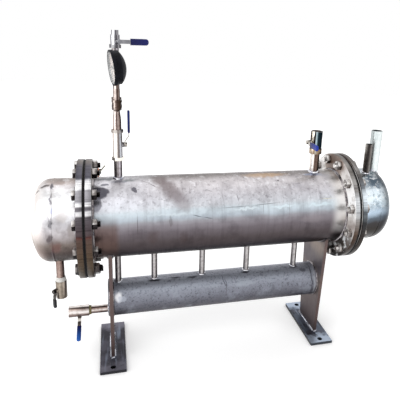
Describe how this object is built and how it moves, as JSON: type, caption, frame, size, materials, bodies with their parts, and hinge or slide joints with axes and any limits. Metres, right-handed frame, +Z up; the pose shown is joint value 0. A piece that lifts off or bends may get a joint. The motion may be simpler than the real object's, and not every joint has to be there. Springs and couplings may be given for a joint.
{
  "type": "shell and tube heat exchanger",
  "caption": "Horizontal stainless shell and tube exchanger: bolted dished bonnets, plate legs, drain header under the shell, lever valves and a pressure gauge on a standpipe.",
  "frame": {"origin": "on the floor, at the centre of the four anchor holes", "axes": "+X along the shell towards the end with the two open nozzles, -Y to the front, +Z up"},
  "size_m": [1.2852, 0.395, 1.1315],
  "materials": {
    "satin_steel": "satin mill finish stainless steel, stained and scratched",
    "head_steel": "bright satin stainless steel",
    "flange_steel": "machined stainless steel with dull faces",
    "bolt_steel": "bright hexagon bolts and nuts",
    "pipe_steel": "mill finish stainless pipe and fittings",
    "valve_steel": "cast and turned stainless valve bodies",
    "lever_steel": "pressed stainless strap",
    "header_steel": "dull blue grey stainless pipe",
    "leg_plate": "hot rolled plate, brown grey",
    "gasket_rubber": "black sheet rubber",
    "blue_vinyl": "dipped royal blue vinyl",
    "black_vinyl": "dipped black vinyl",
    "gauge_black": "black enamelled case",
    "dial_white": "white enamelled dial",
    "gauge_glass": "clear flat glass",
    "cock_brass": "tarnished brass"
  },
  "bodies": {
    "frame": {"shell": "satin_steel", "left_bonnet_barrel": "satin_steel", "right_bonnet_barrel": "satin_steel", "left_dished_head": "head_steel", "right_dished_head": "head_steel", "left_shell_flange": "flange_steel", "right_shell_flange": "flange_steel", "left_bonnet_flange": "flange_steel", "right_bonnet_flange": "flange_steel", "flange_gaskets": "gasket_rubber", "flange_bolts": "bolt_steel", "left_leg": "leg_plate", "right_leg": "leg_plate", "foot_plates": "leg_plate", "header_pipe": "header_steel", "header_end_plates": "header_steel", "riser_pipes": "pipe_steel", "header_drain_nipple": "pipe_steel", "bonnet_drain_pipe": "pipe_steel", "gauge_standpipe": "pipe_steel", "reducing_nipple": "pipe_steel", "gauge_tee": "pipe_steel", "gauge_branch": "pipe_steel", "gauge_elbow": "pipe_steel", "gauge_stem": "pipe_steel", "vent_pipe": "pipe_steel", "shell_nozzle": "pipe_steel", "tall_bonnet_nozzle": "pipe_steel", "short_bonnet_nozzle": "pipe_steel", "header_drain_valve": "valve_steel", "bonnet_drain_valve": "valve_steel", "isolating_valve": "valve_steel", "vent_valve": "valve_steel", "shell_nozzle_valve": "valve_steel", "gauge_case": "gauge_black", "gauge_dial": "dial_white", "gauge_glass": "gauge_glass", "air_cock": "cock_brass"},
    "header_drain_handle": {"header_drain_lever": "lever_steel", "header_drain_grip": "blue_vinyl"},
    "bonnet_drain_handle": {"bonnet_drain_lever": "lever_steel", "bonnet_drain_grip": "black_vinyl"},
    "isolating_handle": {"isolating_lever": "lever_steel", "isolating_grip": "blue_vinyl"},
    "vent_handle": {"vent_lever": "lever_steel", "vent_grip": "blue_vinyl"},
    "shell_nozzle_handle": {"shell_nozzle_lever": "lever_steel", "shell_nozzle_grip": "blue_vinyl"},
    "air_cock_handle": {"air_cock_lever": "lever_steel"}
  },
  "joints": [
    {"name": "header_drain_turn", "type": "hinge", "parent": "frame", "child": "header_drain_handle", "pos_m": [-0.4995, 0, 0.168], "axis": [0, 0.3746, -0.9272], "range_deg": [0, 90]},
    {"name": "bonnet_drain_turn", "type": "hinge", "parent": "frame", "child": "bonnet_drain_handle", "pos_m": [-0.553, 0, 0.264], "axis": [0.7431, 0.6691, 0], "range_deg": [0, 90]},
    {"name": "isolating_turn", "type": "hinge", "parent": "frame", "child": "isolating_handle", "pos_m": [-0.354, 0, 0.77], "axis": [-1, 0, 0], "range_deg": [0, 90]},
    {"name": "vent_turn", "type": "hinge", "parent": "frame", "child": "vent_handle", "pos_m": [-0.354, 0, 1.0975], "axis": [0.454, -0.891, 0], "range_deg": [0, 90]},
    {"name": "shell_nozzle_turn", "type": "hinge", "parent": "frame", "child": "shell_nozzle_handle", "pos_m": [0.352, 0, 0.768], "axis": [-1, 0, 0], "range_deg": [0, 90]},
    {"name": "air_cock_turn", "type": "hinge", "parent": "frame", "child": "air_cock_handle", "pos_m": [-0.426, 0.09, 0.6436], "axis": [0, -1, 0], "range_deg": [-50, 40]}
  ]
}
